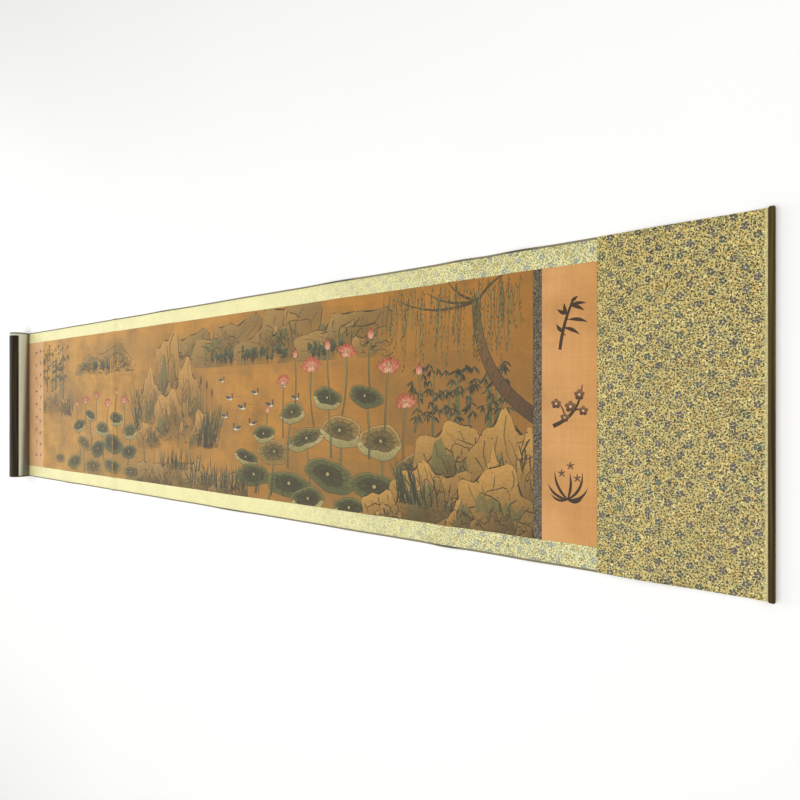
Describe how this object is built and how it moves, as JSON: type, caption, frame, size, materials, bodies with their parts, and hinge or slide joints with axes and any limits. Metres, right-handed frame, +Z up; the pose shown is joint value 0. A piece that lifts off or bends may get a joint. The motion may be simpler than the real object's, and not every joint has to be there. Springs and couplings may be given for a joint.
{
  "type": "handscroll",
  "caption": "Long mounted silk handscroll lying open with brocade borders, a painted silk panel, a dark stave at the near end and its far end still rolled up.",
  "frame": {"origin": "on the table surface, under the middle of the scroll's length and width", "axes": "+X along the scroll from the roll to the stave, +Y across it towards the top border, +Z up, out of the picture side"},
  "size_m": [1.482, 0.33, 0.0385],
  "materials": {
    "lining_paper": "matt laminated mulberry paper lining, greyed cream",
    "head_brocade": "golden brocade with small vine scrolls and grey-violet flowers, satin sheen",
    "border_brocade": "pale cream-yellow brocade with faint green and blue-grey sprigs, satin sheen",
    "tan_silk": "plain tan silk, matt",
    "picture_silk": "aged ochre painting silk with ink and mineral colours, matt",
    "dark_brocade": "dark brown figured silk",
    "dark_silk": "dark olive-brown silk satin"
  },
  "bodies": {
    "root": {"backing": "lining_paper", "head_panel": "head_brocade", "title_panel": "tan_silk", "divider_strip": "dark_brocade", "picture_panel": "picture_silk", "colophon_panel": "tan_silk", "top_border": "border_brocade", "bottom_border": "border_brocade", "head_stave": "dark_silk", "roll": "lining_paper", "roll_cover": "dark_silk"}
  },
  "joints": []
}
